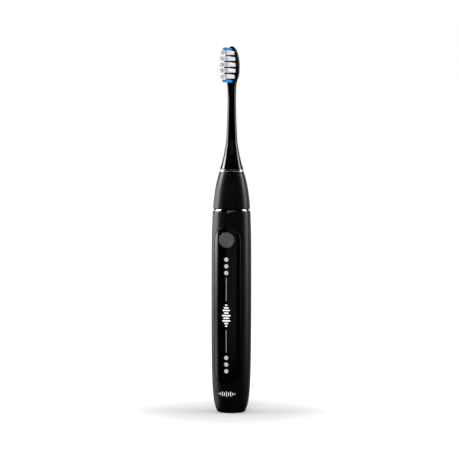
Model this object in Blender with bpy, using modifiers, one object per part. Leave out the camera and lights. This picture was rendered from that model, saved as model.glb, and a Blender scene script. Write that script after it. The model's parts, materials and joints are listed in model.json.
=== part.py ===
"""Sonic toothbrush: a turned handle with its drive inside, and a brush head that pulls off.

The model is in metres, +Z up. The origin is the centre of the flat base, and the front, with the
button, faces -Y. Handle, drive shaft and brush head share the Z axis. Lengths in this file are in
millimetres, and the helpers that make objects turn them to metres. Turned profiles are listed as
(radius, height), down the outer side and back up the inner one.
"""

import math

import bmesh
import bpy
from mathutils import Matrix

MM = 0.001

# Driving dimensions
GAP = 0.3                   # kept between pieces that touch on the real object
FULL_STEPS = 36             # facets round a large turned piece
MID_STEPS = 24
SMALL_STEPS = 16
CASING_BORE = 11.6
RIM_BORE = 12.3             # wider mouth that takes the seam ring
RIM_BORE_BOTTOM = 132.6
NOTCH_HALF_WIDTH = 6.0      # V notch in the casing's rim
NOTCH_DEPTH = 1.8
CAP_RADIUS = 7.1            # bottom cap's flange
CAP_FLANGE = 1.9
PLUG_RADIUS = 6.6           # the cap's plug, with a groove for its seal
SOCKET_RADIUS = 4.0         # charging socket
SOCKET_DEPTH = 12.2
SKIRT_RADIUS = 11.3         # the nose cone's skirt, inside the casing
SKIRT_BOTTOM = 129.9
SEAL_GROOVE = 1.3           # height of an O-ring groove
SEAL_SECTION = 0.42         # radius of an O-ring's section
PANEL_HALF_WIDTH = 9.05
PANEL_LOWER_CENTRE = 29.4   # centre of the inlay's lower round end
PANEL_BACK = 12.6           # radius of the inlay's back
BUTTON_HEIGHT = 118.4       # also the centre of the inlay's upper round end
BUTTON_RADIUS = 5.25
BUTTON_FACE = 13.05         # how far the button's face is from the axis
BUTTON_SKIRT = 10.6
BUTTON_WELL = 6.1           # hole in the inlay round the button
LIGHT_RADIUS = 1.45
LIGHT_PITCH = 4.55
LIGHT_TOPS = {"mode_light": 105.2, "battery_light": 38.3}
LIGHT_BACK = 10.4           # inner end of a light pipe
BOARD_FRONT = 9.2
BOARD_BACK = 8.4
BOARD_HALF_WIDTH = 6.3
BOARD_BOTTOM = 16.5
BOARD_TOP = 126.0
BULKHEADS = {"lower": 17.8, "upper": 88.8}   # also the heights of the board's screws
BULKHEAD_THICKNESS = 3.0
SCREW_RADIUS = 0.6
SCREW_OFFSET = 4.2
CHASSIS_OUTER = 11.1
CHASSIS_INNER = 9.8
CHASSIS_BOTTOM = 16.3
CHASSIS_TOP = 129.5
CELL_RADIUS = 7.0
CELL_BOTTOM = 20.4
CELL_TOP = 85.4
CELL_OFFSET = 1.6           # the cell sits back from the axis, to clear the board
CAN_RADIUS = 8.0
CAN_BOTTOM = 92.0
CAN_TOP = 126.0
BEARING_RADIUS = 3.6
BEARING_LENGTH = 2.6
SHAFT_RADIUS = 2.0
SHAFT_BOTTOM = 90.8
SHAFT_TOP = 182.0
SHAFT_HOLE = SHAFT_RADIUS + GAP
ROTOR_MIDDLE = 110.0
HEAD_BOTTOM = 166.1         # foot of the brush moulding, above its ring
HEAD_TOP = 250.2
HEAD_TURN = math.radians(-10)   # the head stands a little off the handle's front
PLATE_HALF_WIDTH = 5.7
PLATE_FRONT = 1.9           # plate's bristle face, ahead of the axis
PLATE_BACK = 2.6
PLATE_END_CENTRE = 236.0    # centre of the elliptical top end
SLEEVE_RADIUS = 3.2         # grip inside the brush head
SLEEVE_TOP = 182.2
SLEEVE_FLANGE = 6.0
SLEEVE_FLANGE_TOP = 168.0
BRISTLE_TIP = 12.3          # tips, ahead of the axis
ROW_PITCH = 4.0
ROW_HEIGHT = 2.9
TOP_ROW = 245.3
ROW_HALF_WIDTHS = (2.9, 3.6, 3.8, 3.8, 3.2)

# The handle's outline, base to rim, widest a little above half height
HANDLE_OUTLINE = (
    (8.3, 0.0), (9.35, 0.45), (10.15, 1.7), (11.15, 4.6), (12.15, 9.9), (12.95, 18.8), (13.4, 35.0),
    (13.6, 54.0), (13.65, 74.0), (13.63, 93.0), (13.52, 115.0), (13.05, 134.0), (12.87, 137.2), (12.6, 138.0),
)
HANDLE_TOP = HANDLE_OUTLINE[-1][1]
# The nose cone's outline, bottom edge to tip
NOSE_OUTLINE = (
    (12.45, 139.4), (12.6, 139.65), (12.5, 142.2), (12.0, 147.2), (11.15, 153.3), (9.7, 160.0), (8.25, 164.7),
)
NOSE_TOP = NOSE_OUTLINE[-1][1]
# Half width of the brush moulding: flare, crease, neck, and the plate up to its round end
HEAD_OUTLINE = (
    (7.85, 166.1), (8.0, 166.3), (7.4, 168.3), (6.3, 172.3), (5.35, 176.4), (4.65, 180.5), (3.85, 185.6),
    (3.6, 190.0), (3.25, 198.0), (3.0, 206.0), (2.86, 214.0), (2.88, 220.5), (3.2, 224.3), (3.95, 227.0),
    (4.95, 229.6), (5.5, 232.2), (5.7, 236.0),
)

SATIN_BLACK = {"color": (0.012, 0.012, 0.013), "roughness": 0.42}
GLOSS_BLACK = {"color": (0.006, 0.006, 0.007), "roughness": 0.12}
CHROME = {"color": (0.82, 0.83, 0.85), "roughness": 0.06, "metallic": 1.0}
SPUN_METAL = {"color": (0.2, 0.2, 0.21), "roughness": 0.34, "metallic": 1.0}
STEEL = {"color": (0.52, 0.53, 0.55), "roughness": 0.3, "metallic": 1.0}
IRON = {"color": (0.16, 0.16, 0.17), "roughness": 0.45, "metallic": 1.0}
NICKEL = {"color": (0.66, 0.62, 0.55), "roughness": 0.25, "metallic": 1.0}
COPPER = {"color": (0.72, 0.3, 0.12), "roughness": 0.3, "metallic": 1.0}
RUBBER = {"color": (0.02, 0.02, 0.022), "roughness": 0.7}
BOARD_GREEN = {"color": (0.01, 0.12, 0.05), "roughness": 0.4}
FRAME_GREY = {"color": (0.35, 0.36, 0.37), "roughness": 0.5}
CELL_BLUE = {"color": (0.02, 0.12, 0.4), "roughness": 0.35}
LIGHT_WHITE = {"color": (0.85, 0.86, 0.88), "roughness": 0.25}
BRISTLE_WHITE = {"color": (0.86, 0.87, 0.88), "roughness": 0.4}
BRISTLE_BLUE = {"color": (0.01, 0.27, 0.72), "roughness": 0.35}

FACING_FRONT = (math.pi / 2, 0, 0)              # a piece's own +Z points out of the front
FACING_RIGHT = (math.pi / 2, 0, math.pi / 2)    # a piece's own +Z points to +X, its +Y up


def clear_scene():
    for obj in list(bpy.data.objects):
        bpy.data.objects.remove(obj, do_unlink=True)


def new_collection(name):
    collection = bpy.data.collections.new(name)
    bpy.context.scene.collection.children.link(collection)
    return collection


def new_material(name, look):
    material = bpy.data.materials.new(name)
    material.use_nodes = True
    shader = material.node_tree.nodes["Principled BSDF"]
    shader.inputs["Base Color"].default_value = (*look["color"], 1.0)
    shader.inputs["Roughness"].default_value = look["roughness"]
    shader.inputs["Metallic"].default_value = look.get("metallic", 0.0)
    return material


def new_object(name, data, look=None, centre=(0, 0, 0), turn=(0, 0, 0)):
    """Links an object at a place; one with no look is a cutter."""
    obj = bpy.data.objects.new(name, data)
    obj.location = [c * MM for c in centre]
    obj.rotation_euler = turn
    if look is None:
        cutters.objects.link(obj)
        obj.hide_render = True
        obj.display_type = "WIRE"
    else:
        parts.objects.link(obj)
        data.materials.append(new_material(name, look))
    return obj


def new_axis(name, height, turn=0.0):
    axis = bpy.data.objects.new(name, None)
    parts.objects.link(axis)
    axis.location.z = height * MM
    axis.rotation_euler.z = turn
    return axis


def ride_on(obj, axis):
    """Parents a piece that is placed at world heights to an axis, which may turn it."""
    obj.parent = axis
    obj.location.z -= axis.location.z


def smooth_mesh(obj):
    obj.data.shade_smooth()
    obj.data.set_sharp_from_angle(angle=math.radians(35))


def radius_at(outline, height):
    """The outline's radius at a height, between its nearest points."""
    for (r0, z0), (r1, z1) in zip(outline, outline[1:]):
        if z0 <= height <= z1:
            return r0 + (r1 - r0) * (height - z0) / (z1 - z0)
    return outline[-1][0]


def turned(name, profile, look=None, steps=FULL_STEPS, closed=True, centre=(0, 0, 0), turn=(0, 0, 0)):
    """A profile at +X swept once round Z; an open one starts and ends on the axis."""
    mesh = bpy.data.meshes.new(name)
    edges = [(i, i + 1) for i in range(len(profile) - 1)]
    if closed:
        edges.append((len(profile) - 1, 0))
    mesh.from_pydata([(r * MM, 0, z * MM) for r, z in profile], edges, [])
    obj = new_object(name, mesh, look, centre, turn)
    screw = obj.modifiers.new("Turn", "SCREW")
    screw.axis = "Z"
    screw.steps = steps
    screw.render_steps = steps
    screw.use_smooth_shade = True
    screw.use_merge_vertices = True
    screw.merge_threshold = 0.00001
    return obj


def ring(name, inner, outer, bottom, top, look=None, steps=SMALL_STEPS, **placing):
    return turned(name, [(outer, top), (outer, bottom), (inner, bottom), (inner, top)], look, steps, **placing)


def o_ring(name, radius, height, look):
    """A torus, its section listed down the outer side."""
    count = 6
    angles = [math.pi / 2 - 2 * math.pi * i / count for i in range(count)]
    profile = [(radius + SEAL_SECTION * math.cos(a), height + SEAL_SECTION * math.sin(a)) for a in angles]
    return turned(name, profile, look)


def block(name, size, centre, look=None, bevel=0.0, turn=(0, 0, 0)):
    """A box, with its edges rounded where a bevel is given."""
    mesh = bpy.data.meshes.new(name)
    bm = bmesh.new()
    bmesh.ops.create_cube(bm, size=MM, matrix=Matrix.Diagonal((*size, 1.0)))
    bm.to_mesh(mesh)
    bm.free()
    obj = new_object(name, mesh, look, centre, turn)
    if bevel:
        rounding = obj.modifiers.new("Edges", "BEVEL")
        rounding.width = bevel * MM
        rounding.segments = 2
    return obj


def cylinder(name, radius, depth, centre, look=None, steps=SMALL_STEPS, turn=(0, 0, 0)):
    """A round bar, set half a facet round so that no edge lies on the object's middle plane."""
    mesh = bpy.data.meshes.new(name)
    bm = bmesh.new()
    bmesh.ops.create_cone(bm, cap_ends=True, segments=steps, radius1=radius * MM, radius2=radius * MM,
                          depth=depth * MM, matrix=Matrix.Rotation(math.pi / steps, 4, "Z"))
    bm.to_mesh(mesh)
    bm.free()
    return new_object(name, mesh, look, centre, turn)


def arc(radius, start, end, steps, centre=(0, 0)):
    """Points on a circle from one angle to another, in degrees."""
    angles = [math.radians(start + (end - start) * i / steps) for i in range(steps + 1)]
    return [(centre[0] + radius * math.cos(a), centre[1] + radius * math.sin(a)) for a in angles]


def c_outline(inner, outer, start, end, steps):
    return arc(outer, start, end, steps) + arc(inner, end, start, steps)


def racetrack(half_width, half_height):
    straight = half_height - half_width
    return arc(half_width, 0, 180, 8, (0, straight)) + arc(half_width, 180, 360, 8, (0, -straight))


def flat_outline(name, outlines, thickness, look=None, centre=(0, 0, 0), turn=(0, 0, 0)):
    """A filled outline, with any holes after it, given a thickness along its own Z."""
    curve = bpy.data.curves.new(name, "CURVE")
    curve.dimensions = "2D"
    curve.fill_mode = "BOTH"
    curve.extrude = thickness / 2 * MM
    curve.render_resolution_u = 0
    for outline in outlines:
        spline = curve.splines.new("POLY")
        spline.points.add(len(outline) - 1)
        for point, (x, y) in zip(spline.points, outline):
            point.co = (x * MM, y * MM, 0, 1)
        spline.use_cyclic_u = True
    source = bpy.data.objects.new(name + "_outline", curve)
    cutters.objects.link(source)
    bpy.context.view_layer.update()
    mesh = bpy.data.meshes.new_from_object(source.evaluated_get(bpy.context.evaluated_depsgraph_get()))
    bpy.data.objects.remove(source, do_unlink=True)
    mesh.materials.clear()
    bm = bmesh.new()
    bm.from_mesh(mesh)
    bmesh.ops.remove_doubles(bm, verts=bm.verts, dist=0.000001)
    bmesh.ops.recalc_face_normals(bm, faces=bm.faces)
    bm.to_mesh(mesh)
    bm.free()
    return new_object(name, mesh, look, centre, turn)


def combine(obj, other, operation):
    boolean = obj.modifiers.new(operation.title(), "BOOLEAN")
    boolean.operation = operation
    boolean.object = other
    boolean.solver = "EXACT"


def front_drill(name, radius, height, steps=12):
    """A round cutter through the handle's front wall, from inside the bore to clear outside."""
    return cylinder(name, radius, 8, (0, -14, height), steps=steps, turn=FACING_FRONT)


def drill_lights(obj):
    for group, top in LIGHT_TOPS.items():
        for number in range(3):
            cutter = front_drill(f"{group}_cutter", LIGHT_RADIUS + GAP, top - LIGHT_PITCH * number)
            combine(obj, cutter, "DIFFERENCE")


def stadium(name, half_width):
    """The inlay's outline as a prism through the handle's front."""
    outline = (arc(half_width, 0, 180, 12, (0, BUTTON_HEIGHT))
               + arc(half_width, 180, 360, 12, (0, PANEL_LOWER_CENTRE)))
    return flat_outline(name, [outline], 16, centre=(0, -14, 0), turn=FACING_FRONT)


def make_handle_casing():
    plug_bore = PLUG_RADIUS + GAP
    inside = [
        (CAP_RADIUS + GAP, 0), (CAP_RADIUS + GAP, CAP_FLANGE + GAP), (plug_bore, CAP_FLANGE + GAP),
        (plug_bore, 6.0), (9.8, 6.0), (11.2, 13.0), (CASING_BORE, 17.0), (CASING_BORE, RIM_BORE_BOTTOM),
        (RIM_BORE, RIM_BORE_BOTTOM + GAP), (RIM_BORE, HANDLE_TOP),
    ]
    casing = turned("handle_casing", [*HANDLE_OUTLINE[::-1], *inside], SATIN_BLACK)
    floor = PANEL_BACK - GAP
    recess = turned("recess_cutter", [(15, 130), (15, 15), (floor, 15), (floor, 130)])
    combine(recess, stadium("recess_outline", PANEL_HALF_WIDTH + GAP), "INTERSECT")
    combine(casing, recess, "DIFFERENCE")
    combine(casing, make_notch_cutter(), "DIFFERENCE")
    combine(casing, front_drill("button_cutter", BUTTON_RADIUS + GAP, BUTTON_HEIGHT, MID_STEPS), "DIFFERENCE")
    drill_lights(casing)


def make_notch_cutter():
    """A gull-wing V, its flanks running out tangent to the rim."""
    count = 5
    wing = [(NOTCH_HALF_WIDTH * i / count, HANDLE_TOP - NOTCH_DEPTH * (1 - i / count) ** 2)
            for i in range(1, count + 1)]
    above = HANDLE_TOP + 2
    outline = ([(-x, z) for x, z in reversed(wing)] + [(0, HANDLE_TOP - NOTCH_DEPTH)] + wing
               + [(NOTCH_HALF_WIDTH, above), (-NOTCH_HALF_WIDTH, above)])
    return flat_outline("notch_cutter", [outline], 6, centre=(0, -13, 0), turn=FACING_FRONT)


def make_control_panel():
    """The inlay follows the casing's outer surface and is cut to a stadium."""
    lower, upper = 16.0, 129.0
    front = [(radius_at(HANDLE_OUTLINE, z), z) for z in (lower, upper)]
    front[1:1] = [(r, z) for r, z in HANDLE_OUTLINE if lower < z < upper]
    panel = turned("control_panel", front[::-1] + [(PANEL_BACK, lower), (PANEL_BACK, upper)], GLOSS_BLACK)
    combine(panel, stadium("panel_outline", PANEL_HALF_WIDTH), "INTERSECT")
    combine(panel, front_drill("well_cutter", BUTTON_WELL, BUTTON_HEIGHT, MID_STEPS), "DIFFERENCE")
    drill_lights(panel)


def make_lights():
    for group, top in LIGHT_TOPS.items():
        for number in range(3):
            height = top - LIGHT_PITCH * number
            face = radius_at(HANDLE_OUTLINE, height) - 0.05
            edge = 0.1
            turned(f"{group}_{number + 1}", [
                (0, face), (LIGHT_RADIUS - edge, face), (LIGHT_RADIUS, face - edge), (LIGHT_RADIUS, LIGHT_BACK),
                (0, LIGHT_BACK)], LIGHT_WHITE, 12, closed=False, centre=(0, 0, height), turn=FACING_FRONT)


def make_power_button():
    """A cup with a dished face, a post that meets the switch, and lugs above and below that retain it."""
    well, post = 12.0, 11.35
    button = turned("power_button", [
        (0, BUTTON_FACE - 0.12), (2.6, BUTTON_FACE - 0.09), (4.95, BUTTON_FACE), (BUTTON_RADIUS, BUTTON_FACE - 0.3),
        (BUTTON_RADIUS, BUTTON_SKIRT), (4.3, BUTTON_SKIRT), (4.3, well), (1.5, well), (1.5, post), (0, post)],
        SPUN_METAL, MID_STEPS, closed=False, centre=(0, 0, BUTTON_HEIGHT), turn=FACING_FRONT)
    for sign in (1, -1):
        lug = block("button_lug", (3.0, 0.5, 1.6), (0, -BUTTON_SKIRT - 0.25, BUTTON_HEIGHT + sign * 5.5))
        combine(button, lug, "UNION")


def make_switch():
    switch = block("tactile_switch", (4.4, 0.8, 4.4), (0, -BOARD_FRONT - 0.7, BUTTON_HEIGHT), IRON)
    plunger = cylinder("switch_plunger", 1.2, 0.7, (0, -10.2, BUTTON_HEIGHT), turn=FACING_FRONT)
    combine(switch, plunger, "UNION")
    ring("button_seal", 3.4, 4.0, BOARD_FRONT + GAP, 11.2, RUBBER, centre=(0, 0, BUTTON_HEIGHT), turn=FACING_FRONT)


def make_nose_cone():
    groove_bottom = 131.0
    groove = SKIRT_RADIUS - 1.0
    skirt_inner = 9.7
    inside = [
        (SKIRT_RADIUS, NOSE_OUTLINE[0][1]), (SKIRT_RADIUS, groove_bottom + SEAL_GROOVE),
        (groove, groove_bottom + SEAL_GROOVE), (groove, groove_bottom), (SKIRT_RADIUS, groove_bottom),
        (SKIRT_RADIUS, SKIRT_BOTTOM), (skirt_inner, SKIRT_BOTTOM), (skirt_inner, 139.0), (10.5, 141.5), (9.8, 149.5),
        (7.0, 156.8), (3.0, 158.2), (3.0, 161.2), (4.9, 161.2), (4.9, NOSE_TOP),
    ]
    turned("nose_cone", [*NOSE_OUTLINE[::-1], *inside], SATIN_BLACK)
    o_ring("nose_seal", SKIRT_RADIUS - 0.35, groove_bottom + SEAL_GROOVE / 2, RUBBER)
    inner, outer = SKIRT_RADIUS + GAP, RIM_BORE - GAP
    turned("seam_ring", [
        (outer - 0.1, 139.15), (outer + 0.2, 138.95), (outer + 0.3, 138.65), (outer, HANDLE_TOP + 0.15),
        (outer, 133.2), (inner, 133.2), (inner, 139.15)], CHROME)
    lip = [(SHAFT_HOLE, 161.5), (SHAFT_HOLE, 162.2), (3.1, 162.6), (3.1, 163.5), (SHAFT_HOLE, 163.9),
           (SHAFT_HOLE, 164.3)]
    turned("shaft_seal", [(4.6, 164.3), (4.6, 161.5), *lip], RUBBER, SMALL_STEPS)


def make_base():
    """The cap plugs the casing from below; the charging winding sits round its socket."""
    groove = PLUG_RADIUS - 1.1
    groove_bottom = 3.5
    neck = 6.0
    top = SOCKET_DEPTH + 1.3
    turned("bottom_cap", [
        (0, top), (neck - 0.4, top), (neck, top - 0.4), (neck, 5.9), (PLUG_RADIUS, 5.7),
        (PLUG_RADIUS, groove_bottom + SEAL_GROOVE), (groove, groove_bottom + SEAL_GROOVE), (groove, groove_bottom),
        (PLUG_RADIUS, groove_bottom), (PLUG_RADIUS, CAP_FLANGE), (CAP_RADIUS, CAP_FLANGE), (CAP_RADIUS, 0),
        (SOCKET_RADIUS + 0.4, 0), (SOCKET_RADIUS, 0.4), (SOCKET_RADIUS, SOCKET_DEPTH), (0, SOCKET_DEPTH)],
        SATIN_BLACK, MID_STEPS, closed=False)
    o_ring("base_seal", PLUG_RADIUS - 0.42, groove_bottom + SEAL_GROOVE / 2, RUBBER)
    bore, core, flange = neck + GAP, 7.0, 9.3
    turned("charge_bobbin", [
        (flange, 12.9), (flange, 12.2), (core, 12.2), (core, 7.0), (flange, 7.0), (flange, 6.3), (bore, 6.3),
        (bore, 12.9)], FRAME_GREY, MID_STEPS)
    ring("charge_coil", core + GAP, flange - GAP, 7.0 + GAP, 12.2 - GAP, COPPER, MID_STEPS)


def screw_hole(name, height):
    return cylinder(name, SCREW_RADIUS + GAP, 6, (SCREW_OFFSET, -7.5, height), steps=12, turn=FACING_FRONT)


def make_chassis():
    """A trough behind the cell and motor, with two bulkheads that the board is screwed to."""
    chassis = flat_outline("chassis", [c_outline(CHASSIS_INNER, CHASSIS_OUTER, -30, 210, 16)],
                           CHASSIS_TOP - CHASSIS_BOTTOM, FRAME_GREY,
                           centre=(0, 0, (CHASSIS_BOTTOM + CHASSIS_TOP) / 2))
    for side, height in BULKHEADS.items():
        bulkhead = cylinder(f"bulkhead_{side}", CHASSIS_INNER + 0.5, BULKHEAD_THICKNESS, (0, 0, height),
                            steps=MID_STEPS)
        trim = block(f"bulkhead_trim_{side}", (24, 6, 6), (0, GAP - BOARD_BACK - 3, height))
        combine(bulkhead, trim, "DIFFERENCE")
        combine(chassis, bulkhead, "UNION")
        combine(chassis, screw_hole(f"bulkhead_hole_{side}", height), "DIFFERENCE")


def make_board():
    board = block("circuit_board", (2 * BOARD_HALF_WIDTH, BOARD_FRONT - BOARD_BACK, BOARD_TOP - BOARD_BOTTOM),
                  (0, -(BOARD_FRONT + BOARD_BACK) / 2, (BOARD_TOP + BOARD_BOTTOM) / 2), BOARD_GREEN)
    for group, top in LIGHT_TOPS.items():
        for number in range(3):
            diode = block(f"{group}_diode", (1.6, 0.9, 1.2), (0, -BOARD_FRONT - 0.35, top - LIGHT_PITCH * number))
            combine(board, diode, "UNION")
    combine(board, block("controller", (6, 1.2, 6), (0, -BOARD_FRONT - 0.5, 62)), "UNION")
    under_head = BOARD_FRONT + GAP
    over_head = under_head + 0.6
    for side, height in BULKHEADS.items():
        combine(board, screw_hole(f"board_hole_{side}", height), "DIFFERENCE")
        turned(f"board_screw_{side}", [
            (0, over_head), (1.3, over_head), (1.4, over_head - 0.1), (1.4, under_head), (SCREW_RADIUS, under_head),
            (SCREW_RADIUS, 5.2), (0, 4.8)], STEEL, 8, closed=False, centre=(SCREW_OFFSET, 0, height),
            turn=FACING_FRONT)


def make_battery():
    edge = 0.4
    turned("battery_cell", [
        (0, CELL_TOP + 0.6), (2.4, CELL_TOP + 0.6), (2.6, CELL_TOP), (CELL_RADIUS - edge, CELL_TOP),
        (CELL_RADIUS, CELL_TOP - edge), (CELL_RADIUS, CELL_BOTTOM + edge), (CELL_RADIUS - edge, CELL_BOTTOM),
        (0, CELL_BOTTOM)], CELL_BLUE, MID_STEPS, closed=False, centre=(0, CELL_OFFSET, 0))
    block("battery_pad", (4, 0.6, 46), (0, 9.2, 53), RUBBER)
    solder_end = GAP - BOARD_BACK
    strip, leg = 0.25, 3.6
    for side, height, up in (("lower", CELL_BOTTOM - 0.6, 1), ("upper", CELL_TOP + 1.5, -1)):
        outline = [(4, 0), (solder_end, 0), (solder_end, up * leg), (solder_end + strip, up * leg),
                   (solder_end + strip, up * strip), (4, up * strip)]
        flat_outline(f"battery_tab_{side}", [outline], 4, NICKEL, centre=(0, 0, height), turn=FACING_RIGHT)


def make_motor():
    """Can, cover, bearings, centring spring and windings; the rotor turns inside on the shaft."""
    seat = BEARING_RADIUS + GAP
    boss, wall = seat + 0.6, CAN_RADIUS - 0.7
    floor = CAN_BOTTOM + 1.0
    turned("motor_can", [
        (CAN_RADIUS, CAN_TOP), (CAN_RADIUS, CAN_BOTTOM), (SHAFT_HOLE, CAN_BOTTOM), (SHAFT_HOLE, floor), (seat, floor),
        (seat, floor + 3.2), (boss, floor + 3.2), (boss, floor), (wall, floor), (wall, CAN_TOP)], STEEL, MID_STEPS)
    cover, lid = CAN_TOP + GAP, CAN_TOP + 1.5
    turned("motor_cover", [
        (CAN_RADIUS, lid), (CAN_RADIUS, cover), (boss, cover), (boss, cover - 2.7), (seat, cover - 2.7),
        (seat, cover + GAP), (SHAFT_HOLE, cover + GAP), (SHAFT_HOLE, lid)], STEEL, MID_STEPS)
    for side, bottom in (("lower", floor + GAP), ("upper", cover - BEARING_LENGTH)):
        ring(f"bearing_{side}", SHAFT_HOLE, BEARING_RADIUS, bottom, bottom + BEARING_LENGTH, COPPER)
    make_return_spring()
    for side, height in (("lower", 98.5), ("upper", 119.5)):
        flat_outline(f"motor_damper_{side}", [c_outline(CAN_RADIUS + GAP, CHASSIS_INNER - GAP, 15, 165, 12)],
                     5, RUBBER, centre=(0, 0, height))
    for side, sign in (("left", -1), ("right", 1)):
        flat_outline(f"stator_coil_{side}", [racetrack(3.2, 8.4), racetrack(1.5, 6.7)], 1.4, COPPER,
                     centre=(sign * 5.6, 0, ROTOR_MIDDLE), turn=FACING_RIGHT)
        flat_outline(f"stator_core_{side}", [racetrack(1.2, 6.4)], 2.0, IRON,
                     centre=(sign * 5.9, 0, ROTOR_MIDDLE), turn=FACING_RIGHT)


def make_return_spring():
    """A torsion spring of round wire, wound round the shaft under the rotor."""
    turns, per_turn, pitch, radius, bottom = 3, 14, 0.95, 2.95, 96.7
    curve = bpy.data.curves.new("return_spring", "CURVE")
    curve.dimensions = "3D"
    curve.bevel_depth = 0.25 * MM
    curve.bevel_resolution = 0
    curve.use_fill_caps = True
    curve.render_resolution_u = 0
    spline = curve.splines.new("POLY")
    spline.points.add(turns * per_turn)
    for i, point in enumerate(spline.points):
        angle = 2 * math.pi * i / per_turn
        height = bottom + pitch * i / per_turn
        point.co = (radius * math.cos(angle) * MM, radius * math.sin(angle) * MM, height * MM, 1)
    new_object("return_spring", curve, STEEL)


def make_drive():
    """Everything that swings on the long axis: shaft, hub and four magnets."""
    axis = new_axis("drive_axis", ROTOR_MIDDLE)
    shaft = turned("drive_shaft", [
        (0, SHAFT_TOP), (SHAFT_RADIUS - 0.4, SHAFT_TOP), (SHAFT_RADIUS, SHAFT_TOP - 0.5),
        (SHAFT_RADIUS, SHAFT_BOTTOM + 0.3), (SHAFT_RADIUS - 0.3, SHAFT_BOTTOM), (0, SHAFT_BOTTOM)],
        STEEL, SMALL_STEPS, closed=False)
    flat_bottom, flat_depth = 170, 0.5
    flat = block("shaft_flat_cutter", (6, 2, 14), (0, flat_depth - SHAFT_RADIUS - 1, flat_bottom + 7))
    combine(shaft, flat, "DIFFERENCE")
    hub = ring("rotor_hub", SHAFT_HOLE, 3.0, ROTOR_MIDDLE - 9.5, ROTOR_MIDDLE + 9.5, IRON)
    ride_on(shaft, axis)
    ride_on(hub, axis)
    for number in range(4):
        angle = math.pi / 2 * number
        place = (3.85 * math.cos(angle), 3.85 * math.sin(angle), ROTOR_MIDDLE)
        ride_on(block(f"rotor_magnet_{number + 1}", (1.0, 2.8, 16), place, NICKEL, turn=(0, 0, angle)), axis)


def step_up(value, low, high):
    """0 below low, 1 above high, and a smooth rise between them."""
    t = max(0.0, min(1.0, (value - low) / (high - low)))
    return t * t * (3 - 2 * t)


def head_stations():
    """(height, half width) from the foot of the moulding to its rounded top end."""
    stations = [(z, w) for w, z in HEAD_OUTLINE]
    rise = HEAD_TOP - PLATE_END_CENTRE
    for degrees in (14, 28, 42, 55, 66, 75, 82):
        angle = math.radians(degrees)
        stations.append((PLATE_END_CENTRE + rise * math.sin(angle), PLATE_HALF_WIDTH * math.cos(angle)))
    return stations


def head_section(height, half_width, count=24):
    """A loop that is round in the neck, and flat in front and full behind in the plate."""
    plate = step_up(height, 213, 229)
    closing = max(0.0, (height - 243.5) / 7.0)
    thin = math.sqrt(1 - closing * closing)
    depths = [(half_width + (depth - half_width) * plate) * thin for depth in (PLATE_FRONT, PLATE_BACK)]
    loop = []
    for i in range(count):
        angle = 2 * math.pi * (i + 0.5) / count
        across, ahead = math.cos(angle), math.sin(angle)
        depth = depths[0] if ahead > 0 else depths[1]
        power = 2 / (2 + (2.0 if ahead > 0 else 0.5) * plate)
        x = math.copysign(abs(across) ** power, across) * half_width
        y = -math.copysign(abs(ahead) ** power, ahead) * depth
        loop.append((x * MM, y * MM, height * MM))
    return loop


def make_brush_body():
    """One moulding lofted from its round foot, through the neck, to the flat plate."""
    bm = bmesh.new()
    loops = [[bm.verts.new(point) for point in head_section(z, w)] for z, w in head_stations()]
    for below, above in zip(loops, loops[1:]):
        for i, corner in enumerate(below):
            after = (i + 1) % len(below)
            bm.faces.new((corner, below[after], above[after], above[i]))
    bm.faces.new(loops[0])
    bm.faces.new(loops[-1])
    bmesh.ops.recalc_face_normals(bm, faces=bm.faces)
    mesh = bpy.data.meshes.new("brush_body")
    bm.to_mesh(mesh)
    bm.free()
    body = new_object("brush_body", mesh, GLOSS_BLACK)
    smooth_mesh(body)
    bore, flange_bore = SLEEVE_RADIUS + GAP, SLEEVE_FLANGE + GAP
    top, step, below = SLEEVE_TOP + GAP, SLEEVE_FLANGE_TOP + GAP, HEAD_BOTTOM - 1
    cavity = turned("head_cavity_cutter", [
        (0, top), (bore, top), (bore, step), (flange_bore, step), (flange_bore, below), (0, below)],
        steps=MID_STEPS, closed=False)
    combine(body, cavity, "DIFFERENCE")
    return [body, cavity]


def make_coupling():
    """The chrome ring at the foot, and the sleeve and clip that grip the shaft."""
    bottom, top = 164.95, 165.85
    inner = SLEEVE_FLANGE + GAP
    groove = SLEEVE_RADIUS - 0.45
    return [
        turned("id_ring", [
            (8.0, top), (8.2, top - 0.2), (8.2, bottom + 0.2), (8.1, bottom), (inner, bottom), (inner, top)], CHROME),
        turned("coupling_sleeve", [
            (SLEEVE_RADIUS, SLEEVE_TOP), (SLEEVE_RADIUS, 177.9), (groove, 177.9), (groove, 174.9),
            (SLEEVE_RADIUS, 174.9), (SLEEVE_RADIUS, SLEEVE_FLANGE_TOP), (SLEEVE_FLANGE, SLEEVE_FLANGE_TOP),
            (SLEEVE_FLANGE, 165.2), (SHAFT_HOLE, 165.2), (SHAFT_HOLE, SLEEVE_TOP)], FRAME_GREY, SMALL_STEPS),
        flat_outline("coupling_clip", [c_outline(groove + 0.22, SLEEVE_RADIUS + 0.05, -60, 240, 16)], 2.4, STEEL,
                     centre=(0, 0, 176.4)),
    ]


def make_tuft_row(name, half_width, height, row_height, look):
    """The space that one row of tufts fills, from just off the plate to the tips."""
    root = PLATE_FRONT + GAP
    return block(name, (2 * half_width, BRISTLE_TIP - root, row_height), (0, -(BRISTLE_TIP + root) / 2, height),
                 look, bevel=0.5)


def make_brush_head():
    pieces = make_brush_body() + make_coupling()
    for number, half_width in enumerate(ROW_HALF_WIDTHS):
        height = TOP_ROW - ROW_PITCH * number
        pieces.append(make_tuft_row(f"bristle_row_{number + 1}", half_width, height, ROW_HEIGHT, BRISTLE_WHITE))
    pieces.append(make_tuft_row("bristle_tip_top", 1.3, 248.2, 2.0, BRISTLE_BLUE))
    pieces.append(make_tuft_row("bristle_tip_bottom", 1.9, 226.2, 1.9, BRISTLE_BLUE))
    axis = new_axis("brush_head_axis", HEAD_BOTTOM, HEAD_TURN)
    for piece in pieces:
        ride_on(piece, axis)


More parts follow.
